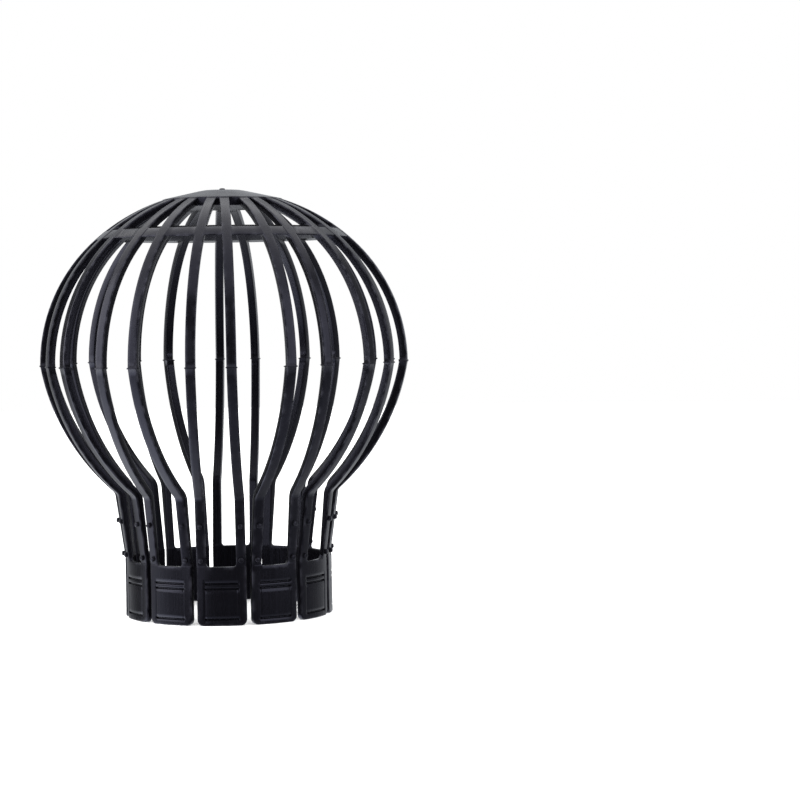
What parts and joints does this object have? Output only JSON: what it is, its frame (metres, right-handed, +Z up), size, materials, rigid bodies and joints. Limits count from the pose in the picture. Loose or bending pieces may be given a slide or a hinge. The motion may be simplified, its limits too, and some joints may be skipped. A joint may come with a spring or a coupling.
{
  "type": "downpipe leaf filter",
  "caption": "Balloon-shaped cage of curved plastic ribs on a ring of foot plates, pushed into a round downpipe to keep leaves out.",
  "frame": {"origin": "on the axis of the filter, level with the lower ends of the foot plates", "axes": "+Z up along the axis, from the foot to the crown; the middle planes of four petals lie on X and Y"},
  "size_m": [0.1552, 0.1552, 0.1791],
  "materials": {
    "black_plastic": "satin moulded polypropylene"
  },
  "bodies": {
    "root": {"strainer_basket": "black_plastic"}
  },
  "joints": []
}
